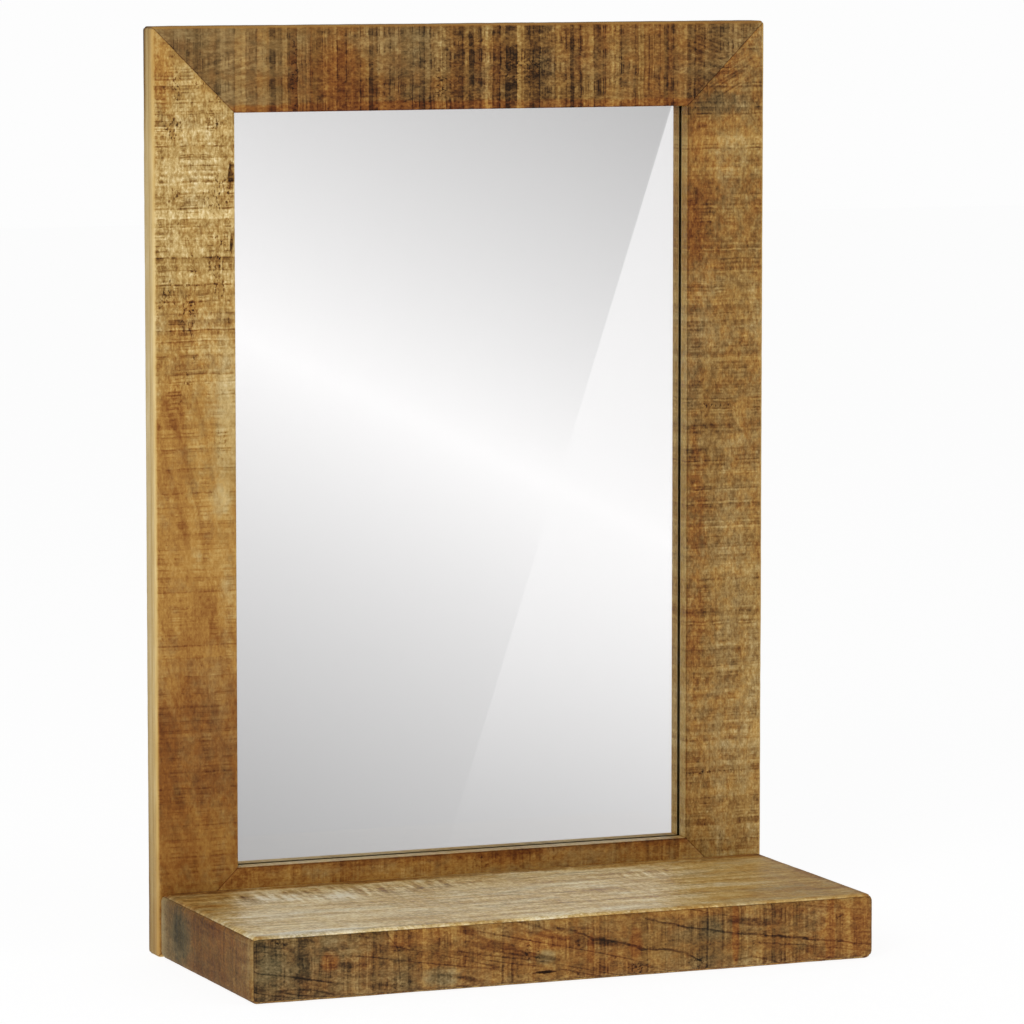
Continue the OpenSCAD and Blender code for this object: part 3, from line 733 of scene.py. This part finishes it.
def float_glass(tint):
    mix = Mixer("float_glass_clear")
    smear = mix.noise(mix.join(*(axis * 9 for axis in mix.place())), 2)
    tinted = mix.shade(tint, 1 - smear * 0.004)
    return mix.finish(Base_Color=tinted, Roughness=0, IOR=1.5, Transmission_Weight=1)


def silver_film(silver, paint):
    """Silver towards the glass, and paint behind it."""
    mix = Mixer("silver_and_paint")
    x, y, z = mix.place()
    low, high = NODE_BOX["mirror_silvering"]
    back = (y - low.y).rise((high.y - low.y) * 0.3, (high.y - low.y) * 0.6)
    brush = mix.noise(mix.join(x * 40, y * 40, z * 400), 3)
    tint = mix.blend(back, silver, mix.shade(paint, 0.85 + brush * 0.3))
    return mix.finish(Base_Color=tint, Metallic=1 - back, Roughness=back * 0.6)


def pressed_hardboard(tint):
    """Smooth brown fibreboard with fine pressed fibres."""
    mix = Mixer("pressed_hardboard")
    x, y, z = mix.place()
    fibres = mix.noise(mix.join(x * 500, y * 900, z * 500), 4, 0.7, 0.6)
    clouds = mix.noise(mix.join(x * 25, y * 25, z * 25), 4, 0.6)
    board = mix.shade(tint, 0.5 + fibres * 0.5 + clouds * 0.5)
    bump = mix.node("Bump", {}, Strength=0.3, Distance=0.0001, Height=fibres)
    return mix.finish(Base_Color=board, Roughness=0.4 + fibres * 0.3, Normal=bump)


def zinc_plate(tint, yellow):
    """Bright zinc on steel, slightly cloudy, with fine drawing lines."""
    mix = Mixer("zinc_plate")
    x, y, z = mix.place()
    clouds = mix.noise(mix.join(x * 130, y * 130, z * 130), 4, 0.6)
    lines = mix.noise(mix.join(x * 3000, y * 500, z * 150), 2, 0.6)
    tone = mix.blend(clouds.rise(0.45, 0.7) * 0.5, tint, yellow)
    tone = mix.shade(tone, 0.9 + (lines - 0.5) * 0.3)
    bump = mix.node("Bump", {}, Strength=0.2, Distance=0.00005, Height=lines)
    return mix.finish(Base_Color=tone, Metallic=0.35, Normal=bump,
                      Roughness=0.3 + (clouds - 0.5) * 0.25 + (lines - 0.5) * 0.15)


# ---- shaping the boards ----


def placed(name, data):
    """A new object in the scene."""
    made = bpy.data.objects.new(name, data)
    bpy.context.scene.collection.objects.link(made)
    return made


def object_of(bm, name):
    """Turns a mesh that is ready into an object in the scene."""
    mesh = bpy.data.meshes.new(name)
    bm.to_mesh(mesh)
    bm.free()
    return placed(name, mesh)


ROUND_CUTS = (0.2, 0.42, 0.63, 0.82, 1.0)    # where a rounding is cut, in shares of its radius
CROSS_CELL = 1.6          # how much longer cells are across the grain
FIRST_CUT = 0.37          # where the first cut lies, in shares of a cell
SPLIT_MARGIN = 2          # millimetres beside a knot or crack that are cut finely too
SPLIT_CELL = 0.0004       # longest edge there, in metres
WAVE_SPAN, DENT_SPAN, RIPPLE_SPAN = 0.09, 0.013, 0.0045    # sizes of the skin's features, in metres
SMOOTH_ANGLE = radians(34)    # faces that meet at less look like one skin


def nearest_core(point, low, high, radius):
    """The nearest point of a box shrunk by a radius: a rounded skin lies one radius from it."""
    return Vector(min(max(p, a + radius), b - radius) for p, a, b in zip(point, low, high))


def cut_by_plane(bm, place, normal):
    geometry = bm.verts[:] + bm.edges[:] + bm.faces[:]
    bmesh.ops.bisect_plane(bm, geom=geometry, dist=2e-5, plane_co=place, plane_no=normal)


def cut_across(bm, axis, places):
    """Cuts the whole mesh by planes across one axis."""
    normal = Vector(1.0 if k == axis else 0.0 for k in range(3))
    for place in places:
        cut_by_plane(bm, normal * place, normal)


def cut_beside_mitres(bm, low, high, width):
    """Cuts the frame beside its four mitres, so that an open seam stays narrow."""
    for side in (-1, 1):
        for end, level in ((-1, low.z), (1, high.z)):
            corner = Vector((side * high.x, 0, level))
            normal = Vector((side, 0, -end)).normalized()
            for shift in (-width, width):
                cut_by_plane(bm, corner + normal * shift, normal)


def steps(low, high, step):
    """Evenly spread places between two ends, near a wanted step apart."""
    count = max(1, round((high - low) / step))
    return [low + (high - low) * (k + FIRST_CUT) / count for k in range(count)]


def mitre_distance(point, low, high):
    """Distance of a point of the frame from the nearest mitre."""
    from_side = high.x - abs(point.x)
    from_end = min(point.z - low.z, high.z - point.z)
    return abs(from_side - from_end) / 2**0.5


def opening_distance(point):
    """Distance of a point of the frame from the edge round the opening."""
    dx = abs(point.x) - OPENING_HALF_W
    dz = max(OPENING_LOW - point.z, point.z - OPENING_HIGH)
    return (max(dx, dz, 0) ** 2 + (point.y - FRAME_BOX[0].y) ** 2) ** 0.5


def skin_depth(point, along, board, shape):
    """How deep the skin lies under its plane at a point: slow waves, dents and saw ripples."""
    seed = board["seed"]
    wave = 0.5 + 0.5 * noise.noise(point / WAVE_SPAN)
    dent = max(0.0, noise.noise(point / DENT_SPAN + Vector((7, 0, 0))))
    ripple = 0.5 + 0.5 * noise.noise(Vector((along / RIPPLE_SPAN + seed, seed, 0)))
    return shape.wave * wave + shape.dent * dent + shape.ripple * ripple


def along_and_across(point, name):
    """Where a point lies on a board, in millimetres along its grain and across its width."""
    axes = ["XYZ".index(BOARDS[name][key]) for key in ("grain", "width")]
    return [(point[axis] - NODE_BOX[name][0][axis]) * 1000 for axis in axes]


def split_depth(point, name):
    """How deep the knots and cracks of a board go at a point."""
    u, v = along_and_across(point, name)
    depth = 0.0
    for along, across, half_l, half_w, deepest in BOARDS[name]["splits"]:
        du = (u - along) / half_l
        dv = (v - across) / half_w
        spread = du * du + dv * dv
        if spread < 1:
            depth = max(depth, deepest / 1000 * (1 - spread))
    return depth


def refine_splits(bm, name):
    """Cuts the mesh finely round each knot and crack, so that their shape holds."""
    for along, across, half_l, half_w, _depth in BOARDS[name]["splits"]:
        for _round in range(2):
            near = []
            for edge in bm.edges:
                u, v = along_and_across((edge.verts[0].co + edge.verts[1].co) / 2, name)
                inside = abs(u - along) < half_l + SPLIT_MARGIN and abs(v - across) < half_w + SPLIT_MARGIN
                if inside and edge.calc_length() > SPLIT_CELL:
                    near.append(edge)
            bmesh.ops.subdivide_edges(bm, edges=near, cuts=1, use_grid_fill=True)


def dress_board(name, envelope, radius, shape):
    """Turns a copy of a board's solid into a worn, sawn board inside the same envelope."""
    board = BOARDS[name]
    low, high = envelope
    own_low, own_high = NODE_BOX[name]
    grain = "XYZ".index(board["grain"])
    bm = bmesh.new()
    bm.from_mesh(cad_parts[name].data)
    bmesh.ops.remove_doubles(bm, verts=bm.verts, dist=1e-6)
    bmesh.ops.dissolve_limit(bm, angle_limit=radians(0.3), verts=bm.verts, edges=bm.edges)
    if name in FRAME_BOARDS:
        cut_beside_mitres(bm, low, high, shape.seam_width)
    for axis in range(3):
        step = shape.cell if axis == grain else shape.cell * CROSS_CELL
        cut_across(bm, axis, steps(own_low[axis], own_high[axis], step))
        edge_cuts = [edge + side * radius * part
                     for edge, side in ((low[axis], 1), (high[axis], -1)) for part in ROUND_CUTS]
        cut_across(bm, axis, [c for c in edge_cuts if own_low[axis] < c < own_high[axis]])
    refine_splits(bm, name)
    arris = bm.verts.layers.float.new("arris")
    seam = bm.verts.layers.float.new("seam")
    reach = shape.wear_reach
    for vert in bm.verts:
        point = vert.co.copy()
        core = nearest_core(point, low, high, radius)
        out = point - core
        if out.length > 0.9 * radius:
            point = core + out.normalized() * radius
        edges = sorted(abs(c) for c in point - nearest_core(point, low, high, reach))
        vert[arris] = edges[1] / (reach - 0.3 * radius)
        gap = abs(edges[2] - edges[1]) / (shape.seam_width * 1.5) if edges[1] > 0.4 * reach else 1
        if name in FRAME_BOARDS:
            vert[arris] = max(vert[arris], 1.15 - opening_distance(point) / (reach * 0.52), 0)
            gap = mitre_distance(point, low, high) / shape.seam_width
        vert[seam] = max(0.0, 1 - gap)
        if out.length > 1e-7 and out.normalized().y < 0.7:
            depth = skin_depth(point, point[grain], board, shape) + split_depth(point, name)
            depth += shape.seam_depth * vert[seam]
            point -= out.normalized() * depth * min(1.0, out.length / radius) ** 2
        vert.co = point
    bmesh.ops.recalc_face_normals(bm, faces=bm.faces)
    for face in bm.faces:
        face.smooth = True
    for edge in bm.edges:
        edge.smooth = len(edge.link_faces) == 2 and edge.calc_face_angle(0) < SMOOTH_ANGLE
    piece = object_of(bm, name + "_dressed")
    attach(piece, "root")
    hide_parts(name)
    return piece


def ground_pane(arris, gap):
    """The pane of float glass, with ground edges, a hair clear of the silver behind it."""
    low, high = GLASS_BOX
    back = Vector((high.x, high.y - gap, high.z))
    bm = bmesh.new()
    bmesh.ops.create_cube(bm, size=1)
    bmesh.ops.scale(bm, verts=bm.verts, vec=back - low)
    bmesh.ops.translate(bm, verts=bm.verts, vec=(low + back) / 2)
    bmesh.ops.bevel(bm, geom=bm.edges[:], offset=arris, segments=2, profile=0.5, affect="EDGES",
                    material=-1)
    pane = object_of(bm, "glass_pane")
    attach(pane, "root")
    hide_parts("mirror_glass")
    return pane


def recoat(names, material):
    """Gives pieces that keep their own solid a finish."""
    for name in names:
        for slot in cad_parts[name].material_slots:
            slot.material = material


def dress_boards(scene, names, envelope, radius):
    """Dresses a group of boards, each with a material of its own."""
    tints = {key: tuple(getattr(scene.mirror_tints, key)) for key in TimberColours.__annotations__}
    pieces = []
    for name in names:
        piece = dress_board(name, envelope, radius, scene.mirror_timber)
        piece.data.materials.append(sawn_timber(name, tints, scene.mirror_timber.sheen))
        pieces.append(piece)
    return pieces


# ---- operators, one for each piece or group of like pieces ----


class MIRROR_OT_frame(Operator):
    """Dress the four mitred boards of the frame"""

    bl_idname = "mirror.frame"
    bl_label = "Frame boards"

    def execute(self, context):
        radius = context.scene.mirror_timber.frame_round
        for piece in dress_boards(context.scene, FRAME_BOARDS, FRAME_BOX, radius):
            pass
        return {"FINISHED"}


class MIRROR_OT_shelf(Operator):
    """Dress the five mitred boards of the shelf box"""

    bl_idname = "mirror.shelf"
    bl_label = "Shelf boards"

    def execute(self, context):
        radius = context.scene.mirror_timber.shelf_round
        for piece in dress_boards(context.scene, SHELF_BOARDS, SHELF_BOX, radius):
            piece.visible_transmission = False
        for name in SHELF_INSIDES:
            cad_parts[name].visible_transmission = False
        return {"FINISHED"}


class MIRROR_OT_glass(Operator):
    """Finish the glass, its silver and the hardboard behind it"""

    bl_idname = "mirror.glass"
    bl_label = "Mirror glass"

    def execute(self, context):
        looks = context.scene.mirror_fittings
        pane = ground_pane(looks.glass_arris, looks.film_gap)
        pane.data.materials.append(float_glass(tuple(looks.glass)))
        recoat(["mirror_silvering"], silver_film(tuple(looks.silver), tuple(looks.back_paint)))
        recoat(["backing_board"], pressed_hardboard(tuple(looks.hardboard)))
        return {"FINISHED"}


class MIRROR_OT_joinery(Operator):
    """Finish the timber inside: batten, ribs, biscuits and dowels"""

    bl_idname = "mirror.joinery"
    bl_label = "Inner joinery"

    def execute(self, context):
        tints = context.scene.mirror_tints
        bare, beech, dark = tuple(tints.bare), tuple(tints.beech), tuple(tints.russet)
        recoat(["shelf_back_batten"], planed_timber("planed_batten", bare, dark, "X"))
        recoat(["shelf_rib_left", "shelf_rib_right"], planed_timber("planed_rib", bare, dark, "Y"))
        biscuits = [f"biscuit_{level}_{side}" for level in ("top", "bottom") for side in ("left", "right")]
        recoat(biscuits, planed_timber("pressed_biscuit", beech, dark, "X"))
        recoat(["shelf_dowels"], planed_timber("turned_dowel", beech, dark, "Y"))
        return {"FINISHED"}


class MIRROR_OT_steel(Operator):
    """Finish the screws, glazing points and keyhole plates"""

    bl_idname = "mirror.steel"
    bl_label = "Steel fittings"

    def execute(self, context):
        looks = context.scene.mirror_fittings
        steel = zinc_plate(tuple(looks.zinc), tuple(looks.yellow_zinc))
        recoat(["hanger_plate_left", "hanger_plate_right", "hanger_screws"], steel)
        recoat(["glazing_points", "shelf_screws"], steel)
        return {"FINISHED"}


# ---- stage ----


def card(name, corners_low, corners_high, material):
    """A flat card that isn't part of the mirror."""
    low, high = Vector(corners_low), Vector(corners_high)
    size = high - low
    bm = bmesh.new()
    bmesh.ops.create_grid(bm, x_segments=1, y_segments=1, size=0.5)
    if size.z > size.y:
        bmesh.ops.rotate(bm, verts=bm.verts, cent=(0, 0, 0), matrix=Matrix.Rotation(radians(90), 3, "X"))
    bmesh.ops.scale(bm, verts=bm.verts, vec=Vector(s or 1.0 for s in size))
    bmesh.ops.translate(bm, verts=bm.verts, vec=(low + high) / 2)
    piece = object_of(bm, name)
    piece.data.materials.append(material)
    return piece


def floor_paint():
    mix = Mixer("studio_floor")
    return mix.finish(Base_Color=(0.13, 0.13, 0.13), Roughness=1, Emission_Color=(1, 1, 1),
                      Emission_Strength=0.9)


def painted_reflection_glow():
    """A glowing card that only the mirror shows, a painted reflection: a grey sweep with a bright diagonal
    band, and a pane with a slanted edge.
    """
    band_level = -0.181      # height of the band's middle where x is 0
    band_slope = -0.48       # how the band falls to the right
    fade_above = 0.7         # loss of brightness per metre above the band
    fade_below = 0.74        # loss of brightness per metre below it
    brightest = 1.0
    dimmest = 0.5
    recovery = 1.07          # makes up for what glass and silver keep back
    pane_foot_x = 0.11       # where the pane's slanted edge meets the floor
    pane_lean = 0.33         # how the edge leans to the right with height
    pane_foot_z = -0.62      # height at which the pane has faded out
    pane_head_z = -0.2       # height at which it is clearest
    mix = Mixer("studio_reflector")
    x, _y, z = mix.place()
    off_band = z - band_level - x * band_slope
    sweep = (brightest - (off_band * fade_above).most(-off_band * fade_below)).most(dimmest)
    edge = (x - pane_foot_x - (z - SHELF_BOX[0].z) * pane_lean).rise(-0.0008, 0.0008)
    clear = z.rise(pane_foot_z, pane_head_z) * 0.66
    sweep = sweep + edge * clear * (brightest - 0.01 - sweep).most(0)
    return mix.finish("Emission", Color=mix.shade((1, 1, 1), sweep ** 2.2 * recovery), Strength=1)


def soft_light(name, place, power):
    """A broad round light, aimed at the foot of the glass."""
    lamp = bpy.data.lights.new(name, "AREA")
    lamp.shape = "DISK"
    lamp.size = 1.8
    lamp.energy = power
    light = placed(name, lamp)
    light.location = place
    foot_of_glass = Vector((0, 0, -0.2))
    light.rotation_euler = (foot_of_glass - Vector(place)).to_track_quat("-Z", "Y").to_euler()
    light.visible_glossy = False


def room_world(backdrop, strength, sheen):
    """A white room: bright to the camera, dimmer as a light, and dimmer still in the lacquer's shine."""
    world = bpy.data.worlds.new("studio_room")
    bpy.context.scene.world = world
    world.use_nodes = True
    nodes, links = world.node_tree.nodes, world.node_tree.links
    nodes.clear()
    path = nodes.new("ShaderNodeLightPath")
    shown = nodes.new("ShaderNodeBackground")
    shown.inputs["Strength"].default_value = strength
    for ray, tint, level in (("Is Glossy Ray", (1, 1, 1), sheen), ("Is Camera Ray", backdrop, 1)):
        other = nodes.new("ShaderNodeBackground")
        other.inputs["Color"].default_value = (*tint, 1)
        other.inputs["Strength"].default_value = level
        pick = nodes.new("ShaderNodeMixShader")
        links.new(path.outputs[ray], pick.inputs[0])
        links.new(shown.outputs[0], pick.inputs[1])
        links.new(other.outputs[0], pick.inputs[2])
        shown = pick
    links.new(shown.outputs[0], nodes.new("ShaderNodeOutputWorld").inputs[0])


def studio_camera(looks):
    camera = placed("studio_camera", bpy.data.cameras.new("studio_camera"))
    camera.data.lens = looks.lens
    camera.data.sensor_width = 36
    camera.data.clip_end = 60
    level = cos(looks.pitch)
    ahead = Vector((sin(looks.yaw) * level, cos(looks.yaw) * level, -sin(looks.pitch)))
    camera.location = Vector((looks.aim_x, looks.aim_y, looks.aim_z)) - ahead * looks.distance
    camera.rotation_euler = (radians(90) - looks.pitch, 0, -looks.yaw)
    bpy.context.scene.camera = camera


class MIRROR_OT_stage(Operator):
    """Set up the camera, floor, lights and the glowing card in front of the mirror, which the mirror shows
    as a painted reflection
    """

    bl_idname = "mirror.stage"
    bl_label = "Stage"

    def execute(self, context):
        looks = context.scene.mirror_stage
        studio_camera(looks)
        room_world(tuple(looks.backdrop), looks.room_light, looks.room_sheen)
        ground = SHELF_BOX[0].z
        floor = card("floor", (-9, -9, ground), (9, 9, ground), floor_paint())
        floor.visible_glossy = False
        # A glowing card that only the mirror shows: a painted reflection.
        reflector = card("reflector", (-1.1, -0.32, ground + 0.001), (1.4, -0.32, 1.2), painted_reflection_glow())
        for ray in ("camera", "diffuse", "glossy", "shadow", "volume_scatter"):
            setattr(reflector, "visible_" + ray, False)
        soft_light("key_light", (-2.2, -2.6, 1.5), looks.key_power)
        soft_light("fill_light", (2.6, -2.4, 0.9), looks.fill_power)
        context.scene.view_settings.view_transform = "Standard"
        return {"FINISHED"}


class MIRROR_PT_panel(Panel):
    """Lists the pieces of the mirror in the sidebar"""

    bl_label = "Mirror with shelf"
    bl_idname = "MIRROR_PT_panel"
    bl_space_type = "VIEW_3D"
    bl_region_type = "UI"
    bl_category = "Mirror"

    def draw(self, context):
        for group, _kind in GROUPS:
            settings = getattr(context.scene, group)
            box = self.layout.box()
            for key in settings.__annotations__:
                box.prop(settings, key)
        for maker in MAKERS:
            self.layout.operator(maker.bl_idname)


GROUPS = (
    ("mirror_timber", TimberShape),
    ("mirror_tints", TimberColours),
    ("mirror_fittings", FittingColours),
    ("mirror_stage", StageLooks),
)
MAKERS = (MIRROR_OT_stage, MIRROR_OT_frame, MIRROR_OT_shelf, MIRROR_OT_glass, MIRROR_OT_joinery,
          MIRROR_OT_steel)


def register():
    for group, kind in GROUPS:
        register_class(kind)
        setattr(bpy.types.Scene, group, PointerProperty(type=kind))
    for kind in (*MAKERS, MIRROR_PT_panel):
        register_class(kind)


def unregister():
    for kind in (*MAKERS, MIRROR_PT_panel):
        unregister_class(kind)
    for group, kind in GROUPS:
        delattr(bpy.types.Scene, group)
        unregister_class(kind)


def main():
    register()
    for maker in MAKERS:
        family, name = maker.bl_idname.split(".")
        getattr(getattr(bpy.ops, family), name)()


if __name__ == "__main__":
    main()
